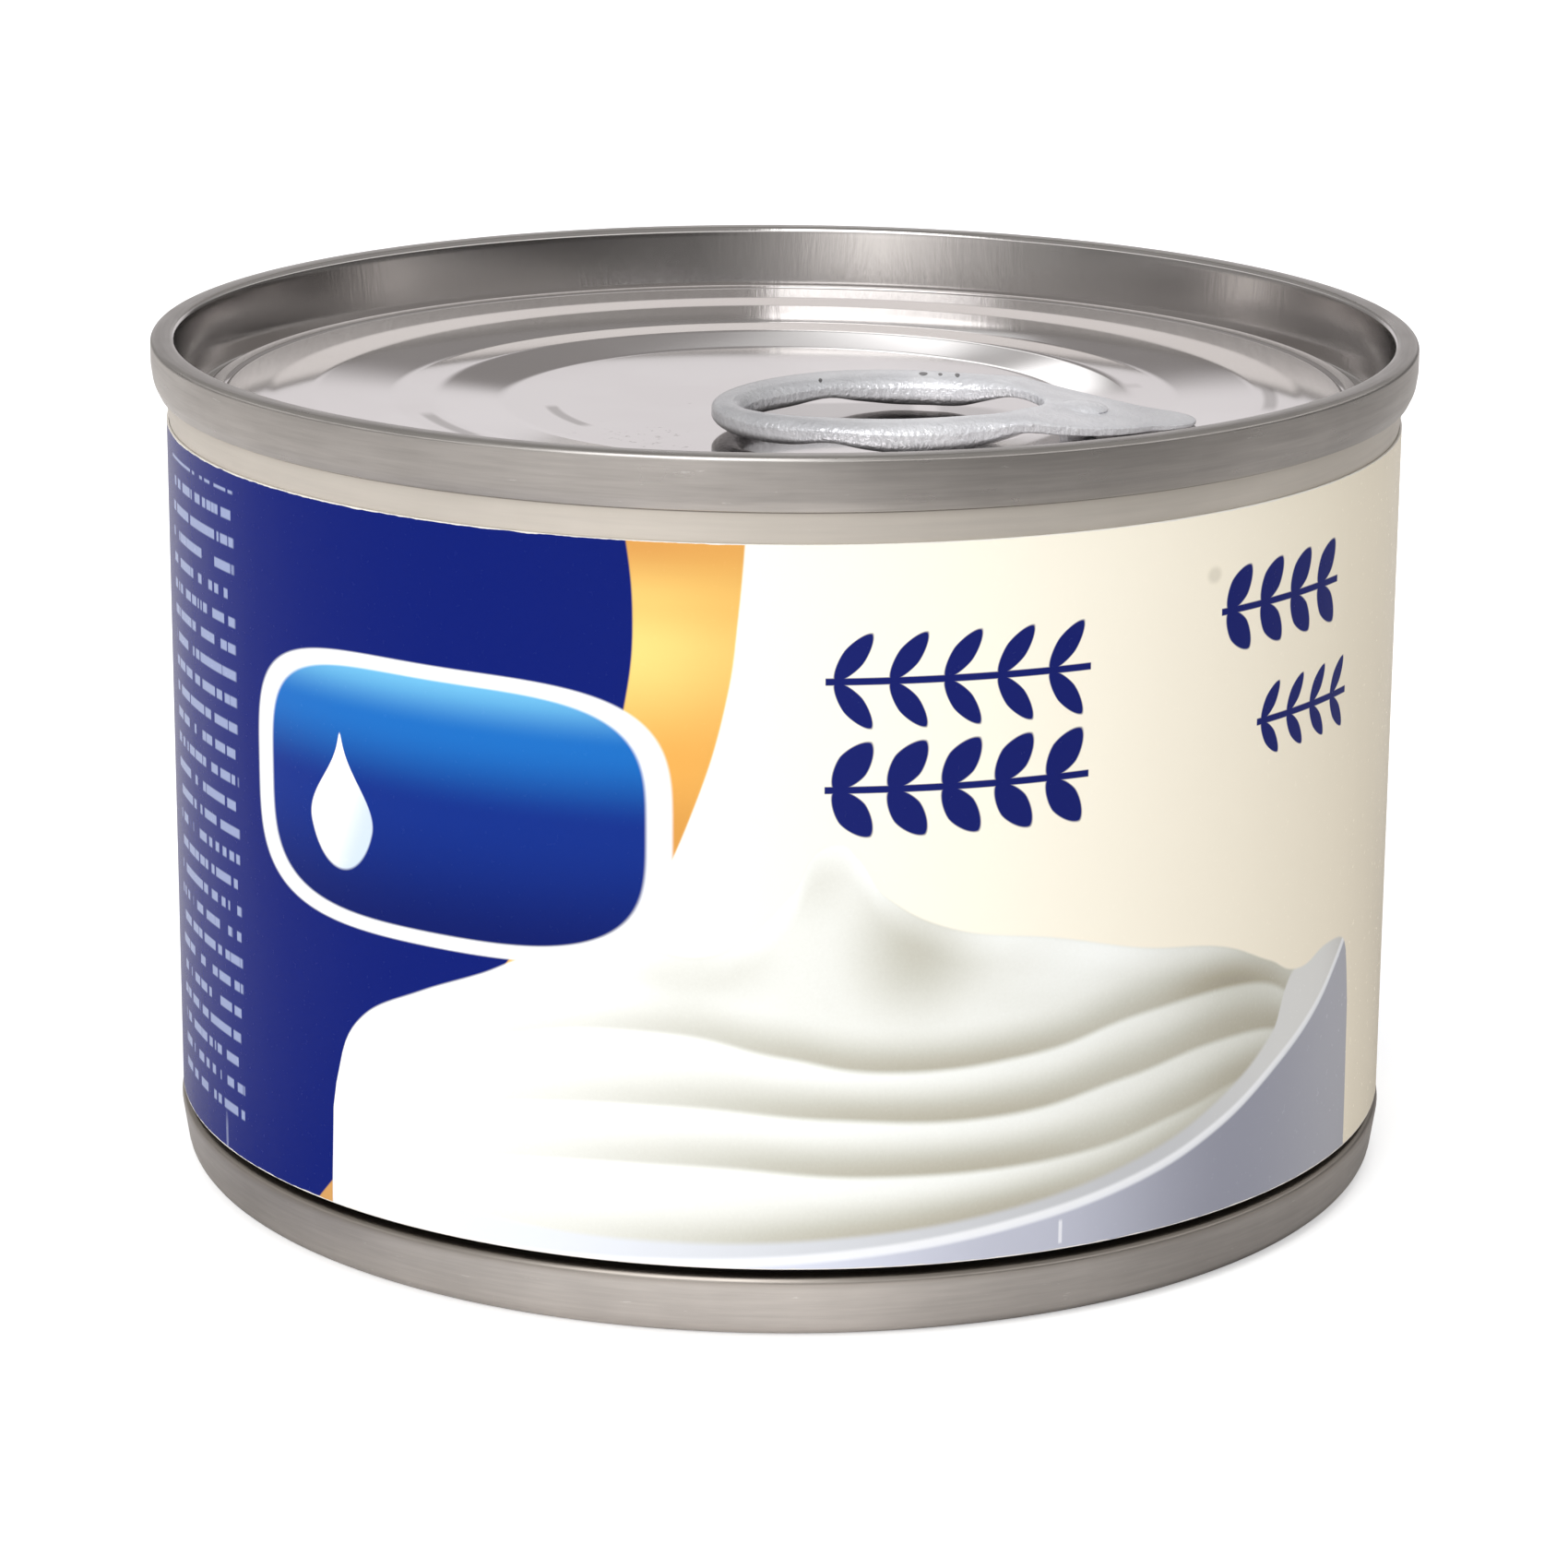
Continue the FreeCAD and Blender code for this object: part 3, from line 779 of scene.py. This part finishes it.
# Picture on the label: a mound of cream in a bowl, all as (degrees round, height) curves
cream = {
    "from": -44.0, "to": 65.0,
    "outline": [(-44.0, 4.0), (-43.0, 12.0), (-39.5, 16.2), (-33.0, 18.4), (-27.0, 20.0), (-20.0, 21.9), (-12.0, 22.5),
                (-7.0, 22.2), (-3.0, 23.4), (1.0, 26.0), (4.6, 28.7), (6.2, 28.0), (9.0, 25.6), (15.0, 23.6),
                (24.0, 22.6), (33.0, 21.2), (42.0, 20.2), (49.0, 18.4), (54.0, 17.2), (59.0, 17.8), (62.5, 17.6),
                (64.2, 15.0), (65.0, 4.0)],
    "folds": [
        [(-44.0, 8.0), (-36.0, 13.6), (-25.0, 16.6), (-12.0, 17.8), (0.0, 16.6), (10.0, 15.6), (22.0, 16.0),
         (34.0, 17.4), (44.0, 17.6), (54.0, 15.6), (65.0, 14.0)],
        [(-44.0, 6.0), (-36.0, 10.6), (-25.0, 12.8), (-10.0, 13.6), (4.0, 13.0), (18.0, 12.6), (32.0, 13.8),
         (44.0, 14.6), (54.0, 13.4), (65.0, 12.0)],
        [(-44.0, 5.0), (-36.0, 8.0), (-25.0, 9.6), (-8.0, 10.2), (8.0, 9.6), (24.0, 9.7), (38.0, 11.0), (48.0, 12.0),
         (54.0, 12.0), (65.0, 11.0)],
    ],
    "lowerEdge": [(-44.0, 9.5), (-36.0, 6.8), (-25.0, 5.8), (-10.0, 5.6), (5.0, 6.0), (20.0, 7.0), (33.0, 8.7),
                  (42.0, 10.8), (50.0, 14.0), (54.0, 17.4), (65.0, 18.0)],
    "bowlRim": [(-44.0, 4.0), (-25.0, 4.1), (-10.0, 4.4), (5.0, 5.0), (20.0, 6.1), (33.0, 7.6), (42.0, 9.4),
                (50.0, 11.8), (57.0, 14.2), (61.0, 16.2), (65.0, 18.6)],
    # how light it is, and how dark the hollows between its folds are: (degrees round, tone)
    "ground": [(-44.0, 0.98), (-20.0, 0.92), (-5.0, 0.84), (12.0, 0.76), (30.0, 0.70), (46.0, 0.56), (65.0, 0.44)],
    "hollow": [(-44.0, 0.06), (-25.0, 0.13), (-8.0, 0.26), (12.0, 0.36), (30.0, 0.26), (46.0, 0.18), (65.0, 0.10)],
    # softer light and dark places: middle, half width and height, change of tone
    "tones": [((-8.0, 21.6), (8.0, 2.4), -0.20), ((-20.0, 19.4), (10.0, 2.0), 0.08), ((11.5, 22.6), (6.5, 4.6), -0.26),
              ((2.5, 27.0), (4.0, 3.0), -0.10), ((27.0, 20.6), (9.0, 1.9), 0.12), ((44.0, 17.8), (9.0, 2.6), -0.10),
              ((20.0, 18.2), (16.0, 2.6), 0.06)],
    "colours": [(0.15, fromScreen(140, 133, 116)), (0.36, fromScreen(176, 170, 153)), (0.55, fromScreen(203, 202, 191)),
                (0.75, fromScreen(229, 229, 222)), (0.9, fromScreen(245, 246, 242)), (1.0, fromScreen(253, 253, 252))],
    "bowlInside": [(0.0, fromScreen(236, 240, 248)), (0.7, fromScreen(196, 197, 200)),
                   (0.93, fromScreen(222, 221, 218)), (1.0, fromScreen(206, 204, 200))],
    "bowlOutside": [(0.0, fromScreen(240, 245, 253)), (0.35, fromScreen(222, 226, 240)),
                    (0.6, fromScreen(188, 190, 204)), (0.8, fromScreen(150, 151, 164)),
                    (1.0, fromScreen(176, 176, 184))],
    "rimTone": fromScreen(246, 247, 250),
}


def millimetresRound(turn, middle):
    return times(minus(turn, middle), math.radians(paper["outside"]))


def fieldsOfColour(turn, height):
    # blue, then the gold band, then ivory, and blue again at the back
    ivory = rampOf(softRange(turn, -10.0, 80.0), labelPrint["ivory"], "LINEAR")
    gold = rampOf(softRange(height, 4.0, 45.0), labelPrint["gold"])
    left, right = (curveOf(height, 4.0, 45.5, labelPrint[part]) for part in ("goldLeft", "goldRight"))
    pastLeft, pastRight = minus(turn, left), minus(turn, right)
    gold = mixColours(softStep(pastLeft, 0.0, 10.0, 0.0, 0.45), gold, labelPrint["goldShade"])
    colour = mixColours(softStep(pastLeft, -0.12, 0.12), labelPrint["blue"], gold)
    colour = mixColours(softStep(pastRight, -0.12, 0.12), colour, ivory)
    back = labelPrint["backBlue"]
    return mixColours(softStep(turn, back, back + 0.2), colour, labelPrint["blue"])


def platePrint(colour, turn, height):
    plate, drop = labelPrint["plate"], labelPrint["drop"]
    across, up = millimetresRound(turn, plate["middle"][0]), minus(height, plate["middle"][1])
    edge = roundness(across, up, plate["half"], plate["squareness"])
    colour = mixColours(softFall(edge, 0.99, 1.01), colour, fromScreen(250, 251, 252))
    inside = rampOf(softRange(up, -plate["half"][1], plate["half"][1]), plate["tones"])
    colour = mixColours(softFall(edge, plate["rim"] - 0.012, plate["rim"] + 0.012), colour, inside)
    # a drop of cream: an oval drawn out to a point at the top
    across, up = millimetresRound(turn, drop["middle"][0]), minus(height, drop["middle"][1])
    narrow = calc("DIVIDE", across, softStep(up, -1.5, drop["half"][1], 1.0, 0.12))
    inDrop = softFall(roundness(narrow, up, drop["half"]), 0.97, 1.03)
    shaded = softStep(minus(across, times(up, 0.4)), -0.5, 2.6)
    return mixColours(inDrop, colour, mixColours(shaded, fromScreen(253, 253, 252), fromScreen(206, 220, 238)))


def sprigPrint(colour, turn, height, sprig):
    start, end, level, pitch, length, width = sprig
    across = millimetresRound(turn, start)
    stemLength = round(math.radians(end - start) * paper["outside"] / pitch) * pitch
    fromStem = away(height, level)
    # leaves lean out from the stem, one pair to each pitch
    along = minus(times(calc("FRACT", calc("DIVIDE", across, pitch)), pitch), pitch / 2)
    aside = minus(fromStem, length * 0.40)
    leanCos, leanSin = math.cos(math.radians(52)), math.sin(math.radians(52))
    far = plus(times(along, leanCos), times(aside, leanSin))
    wide = minus(times(aside, leanCos), times(along, leanSin))
    leaf = softFall(roundness(far, wide, (length / 2, width / 2), 1.6), 0.94, 1.06)
    shape = calc("MAXIMUM", leaf, softFall(fromStem, 0.16, 0.24))
    inside = between(across, (-0.02, 0.02), (stemLength - 0.02, stemLength + 0.02))
    return mixColours(times(inside, shape), colour, labelPrint["navy"])


def finePrint(colour, turn, height):
    # rows of pale dashes in the place of small print
    size = labelPrint["finePrint"]
    rows = calc("DIVIDE", height, size["row"])
    spread = vectorOf(times(turn, 0.75), times(calc("FLOOR", rows), 3.7), 0.0)
    dashes = softStep(noiseOf(spread, 1.0, 1.0), 0.44, 0.47)
    mask = times(dashes, between(calc("FRACT", rows), (0.26, 0.34), (0.62, 0.70)))
    mask = times(mask, between(turn, (size["from"], size["from"] + 0.5), (size["to"] - 0.5, size["to"])))
    mask = times(mask, between(height, (size["low"], size["low"] + 0.1), (size["high"], size["high"] + 0.1)))
    return mixColours(times(mask, 0.7), colour, size["tone"])


def creamLight(point, turn, height, crests):
    # each fold is lit along its crest, and dark where the next one begins
    ground, hollow = (curveOf(turn, cream["from"], cream["to"], cream[part]) for part in ("ground", "hollow"))
    light = ground
    for crest, following in zip(crests, crests[1:]):
        depth = minus(crest, height)
        lit = calc("MULTIPLY_ADD", softFall(depth, 0.0, 2.2), 0.13, ground)
        covered = softFall(minus(height, following), 0.0, 2.6)
        lit = minus(lit, times(covered, hollow))
        within = softStep(depth, -0.15, 0.35)
        light = plus(times(lit, within), times(light, minus(1.0, within)))
    for middle, half, change in cream["tones"]:
        patch = softFall(ovalOf(turn, height, middle, half), 0.0, 1.25)
        light = calc("MULTIPLY_ADD", patch, change, light)
    return calc("MULTIPLY_ADD", minus(noiseOf(point, 6.0, 2.0), 0.5), 0.05, light)


def creamPicture(colour, point, turn, height):
    start, end = cream["from"], cream["to"]
    outline, lowerEdge, rim = (curveOf(turn, start, end, cream[part]) for part in ("outline", "lowerEdge", "bowlRim"))
    crests = [outline] + [curveOf(turn, start, end, fold) for fold in cream["folds"]] + [lowerEdge]
    face = rampOf(creamLight(point, turn, height, crests), cream["colours"], "LINEAR")
    # the bowl: its inside past the cream's edge, and its outside under the rim
    inside, outside = (rampOf(softRange(turn, start, end), cream[part]) for part in ("bowlInside", "bowlOutside"))
    picture = mixColours(softStep(minus(height, lowerEdge), -0.2, 0.25), inside, face)
    belowRim = minus(rim, height)
    picture = mixColours(softStep(belowRim, -0.05, 0.15), picture, outside)
    onRim = softStep(calc("ABSOLUTE", belowRim), 0.12, 0.42, 0.8, 0.0)
    picture = mixColours(onRim, picture, cream["rimTone"])
    inPicture = times(softStep(minus(outline, height), 0.0, 0.22),
                      between(turn, (start, start + 0.2), (end - 0.2, end)))
    return mixColours(inPicture, colour, picture)


def labelWear(colour, point, turn, height):
    place, tone, strength = labelPrint["scratch"]
    scratch = times(softFall(away(turn, place), 0.10, 0.24), between(height, (4.5, 4.7), (5.8, 6.1)))
    colour = mixColours(times(scratch, strength), colour, tone)
    place, tone, strength = labelPrint["crease"]
    crease = times(softFall(away(turn, place), 0.10, 0.35), softFall(height, 5.4, 6.8))
    colour = mixColours(times(crease, strength), colour, tone)
    smudge = ovalOf(turn, height, labelPrint["smudge"], (0.8, 0.45))
    colour = mixColours(softStep(smudge, 0.5, 1.4, 0.35, 0.0), colour, labelPrint["smudgeTone"])
    # bare paper along the cut edges
    frayed = times(noiseOf(point, 1.1, 3.0), 0.16)
    cut = calc("MAXIMUM", softStep(plus(height, frayed), paper["high"] + 0.01, paper["high"] + 0.05),
               softFall(minus(height, frayed), paper["low"] - 0.05, paper["low"] - 0.01))
    return mixColours(cut, colour, labelPrint["paperEdge"])


def printedPaper():
    material, tree, shader = newMaterial("printedPaper")
    point, _, turn, height = canPlaces(tree)
    colour = fieldsOfColour(turn, height)
    colour = platePrint(colour, turn, height)
    for sprig in labelPrint["sprigs"]:
        colour = sprigPrint(colour, turn, height, sprig)
    colour = finePrint(colour, turn, height)
    colour = creamPicture(colour, point, turn, height)
    colour = labelWear(colour, point, turn, height)
    plug(shader.inputs["Base Color"], colour)
    grain = noiseOf(point, 3.0, 3.0, 0.6)
    slack = noiseOf(vectorOf(times(turn, 0.1), 0.0, times(height, 0.05)), 1.0, 2.0)
    plug(shader.inputs["Roughness"], calc("MULTIPLY_ADD", grain, 0.08, 0.22))
    plug(shader.inputs["Normal"], bumpOf(slack, 0.25, 0.25, bumpOf(grain, 0.08, 0.02)))
    shader.inputs["Specular IOR Level"].default_value = 0.12
    return material


label.data.materials.append(printedPaper())
settle(label, "label")

# Floor, light and camera
stage = {
    "floorSize": 6.0, "floorColour": (0.80, 0.80, 0.80, 1.0), "floorLift": 0.45,
    # how light the floor looks to metal: (degrees round from the front, tone), far off and close to the can
    "floorTones": [(-180, 0.80), (-100, 0.62), (-54, 0.56), (-26, 0.72), (0, 0.56), (22, 0.38), (42, 0.32),
                   (66, 0.34), (92, 0.46), (120, 0.36), (150, 0.60), (180, 0.80)],
    "nearTones": [(-180, 0.85), (-100, 0.66), (-62, 0.46), (-40, 0.64), (-20, 0.86), (0, 0.92), (22, 0.58),
                  (44, 0.38), (80, 0.40), (130, 0.48), (180, 0.85)], "nearTo": (44.0, 80.0),
    "keyLamp": {"place": (-0.50, -0.80, 0.55), "size": (1.0, 0.45), "power": 7.2},
    "topLamp": {"place": (0.1, 0.1, 0.9), "size": (0.7, 0.7), "power": 3.4},
    "lampAim": (0, 0, 0.03),
}
# What the metal mirrors, by degrees of climb over the floor and degrees to the right of the camera
room = {
    "fill": 0.46,
    # behind the can: (climb, tone)
    "behind": [(0.0, (0.78, 0.75, 0.76, 1)), (11.9, (0.82, 0.79, 0.80, 1)), (13.5, (0.27, 0.255, 0.25, 1)),
               (45.0, (0.34, 0.33, 0.32, 1)), (90.0, (0.50, 0.49, 0.48, 1))], "behindWidth": (13.0, 26.0),
    # on the camera's side low down: (degrees to the right of the camera, tone), and its dark right-hand part
    "low": [(-180, 0.30), (-90, 0.30), (-65, 0.25), (-50, 0.38), (-37, 0.66), (-27, 1.05), (-18, 1.38), (-9, 0.92),
            (0, 0.44), (9, 0.27), (19, 0.16), (47, 0.06), (65, 0.07), (80, 0.13), (180, 0.13)],
    "dark": (0.04, 0.036, 0.034, 1), "wall": (0.32, 0.31, 0.305, 1), "wallFrom": (8.5, 11.0),
    # a pale band all round it, lower to the sides, and a darker ceiling
    "band": (1.28, 1.25, 1.23, 1), "bandFrom": (14.0, 17.0), "bandTop": 27.8, "bandFall": 0.00055,
    "ceiling": (0.37, 0.36, 0.35, 1),
    # one bright card over the band on the left, and a narrow lit gap far behind the can with a darker bar across
    # it, each between two soft edges
    "card": (3.2, 3.2, 3.2, 1), "cardAcross": ((-52.0, -38.0), (0.0, 6.0)), "cardClimb": ((28.5, 31.0), (70.0, 80.0)),
    "gap": (1.6, 1.6, 1.6, 1), "gapAcross": ((-0.2, 0.6), (1.3, 1.9)), "gapClimb": ((11.5, 13.5), (24.0, 28.0)),
    "barClimb": ((16.0, 17.3), (18.4, 19.2)), "barShade": 0.85,
}


def makeFloor():
    deselectAll()
    bpy.ops.mesh.primitive_plane_add(size=stage["floorSize"])
    floor = bpy.context.object
    floor.name = "studioFloor"
    material, tree, shader = newMaterial("studioFloor")
    shader.inputs["Roughness"].default_value = 0.9
    shader.inputs["Specular IOR Level"].default_value = 0.0
    ray = tree.nodes.new("ShaderNodeLightPath")
    _, reach, turn, _ = canPlaces(tree)
    far, near = (rampOf(softRange(turn, -180.0, 180.0),
                        [((place + 180) / 360, (tone, tone * 0.96, tone * 0.935, 1.0)) for place, tone in stage[part]],
                        "LINEAR") for part in ("floorTones", "nearTones"))
    seen = mixColours(softStep(reach, *stage["nearTo"]), near, far)
    plug(shader.inputs["Base Color"], mixColours(ray.outputs["Is Glossy Ray"], stage["floorColour"], seen))
    shader.inputs["Emission Color"].default_value = (1, 1, 1, 1)
    plug(shader.inputs["Emission Strength"], times(ray.outputs["Is Camera Ray"], stage["floorLift"]))
    floor.data.materials.append(material)


def roomTones(climb, aside):
    tones = rampOf(softRange(aside, -180.0, 180.0), [
        ((place + 180) / 360, (tone, tone * 0.965, tone * 0.94, 1)) for place, tone in room["low"]])
    shade = times(softStep(aside, 4.0, 22.0), softStep(climb, 4.5, 6.5))
    tones = mixColours(shade, tones, room["dark"])
    tones = mixColours(softStep(climb, *room["wallFrom"]), tones, room["wall"])
    tones = mixColours(softStep(climb, *room["bandFrom"]), tones, room["band"])
    fall = times(times(aside, aside), room["bandFall"])
    overBand = softStep(plus(climb, fall), room["bandTop"] - 1.2, room["bandTop"] + 1.2)
    return mixColours(overBand, tones, room["ceiling"])


def makeWorld():
    world = bpy.data.worlds.new("studio")
    bpy.context.scene.world = world
    world.use_nodes = True
    tree = world.node_tree
    ray = tree.nodes.new("ShaderNodeLightPath")
    across, deep, up = partsOf(tree.nodes.new("ShaderNodeTexCoord").outputs["Generated"])
    climb = times(calc("ARCSINE", up), 180 / math.pi)
    around = times(calc("ARCTAN2", across, deep), 180 / math.pi)
    aside = times(calc("ARCTAN2", across, times(deep, -1.0)), 180 / math.pi)
    behind = rampOf(softRange(climb, 0.0, 90.0), [
        (place / 90, tone) for place, tone in room["behind"]], "LINEAR")
    window = softFall(calc("ABSOLUTE", around), *room["behindWidth"])
    pattern = mixColours(window, roomTones(climb, aside), behind)
    card = times(between(aside, *room["cardAcross"]), between(climb, *room["cardClimb"]))
    pattern = mixColours(card, pattern, room["card"])
    gap = times(between(around, *room["gapAcross"]), between(climb, *room["gapClimb"]))
    gap = times(gap, calc("MULTIPLY_ADD", between(climb, *room["barClimb"]), -room["barShade"], 1.0))
    pattern = mixColours(gap, pattern, room["gap"])
    fill = (room["fill"], room["fill"], room["fill"], 1)
    colour = mixColours(ray.outputs["Is Diffuse Ray"], pattern, fill)
    colour = mixColours(ray.outputs["Is Camera Ray"], colour, (1, 1, 1, 1))
    plug(tree.nodes["Background"].inputs["Color"], colour)


def makeLamp(name):
    # a lamp that lights the can but doesn't show in its metal
    place, aim = Vector(stage[name]["place"]), Vector(stage["lampAim"])
    deselectAll()
    bpy.ops.object.light_add(type="AREA", location=place)
    lamp = bpy.context.object
    lamp.name = name
    lamp.data.shape = "RECTANGLE"
    lamp.data.size, lamp.data.size_y = stage[name]["size"]
    lamp.data.energy = stage[name]["power"]
    lamp.rotation_euler = (aim - place).to_track_quat("-Z", "Y").to_euler()
    lamp.visible_glossy = False


def makeCamera():
    # place in millimetres, and its turns in radians
    view = {"place": (-0.41, -302.03, 105.82), "pitch": 0.2714, "roll": 0.007, "yaw": 0.0018, "lens": 118.1}
    deselectAll()
    bpy.ops.object.camera_add()
    camera = bpy.context.object
    camera.name = "camera"
    camera.data.lens = view["lens"]
    camera.data.sensor_width = 36.0
    camera.data.clip_start = 0.01
    camera.matrix_world = (Matrix.Translation(Vector(view["place"]) * mm)
                           @ Matrix.Rotation(-view["yaw"], 4, "Z")
                           @ Matrix.Rotation(math.pi / 2 - view["pitch"], 4, "X")
                           @ Matrix.Rotation(view["roll"], 4, "Z"))
    bpy.context.scene.camera = camera


makeFloor()
makeWorld()
makeLamp("keyLamp")
makeLamp("topLamp")
makeCamera()
bpy.context.scene.view_settings.view_transform = "Standard"
print("stage made")
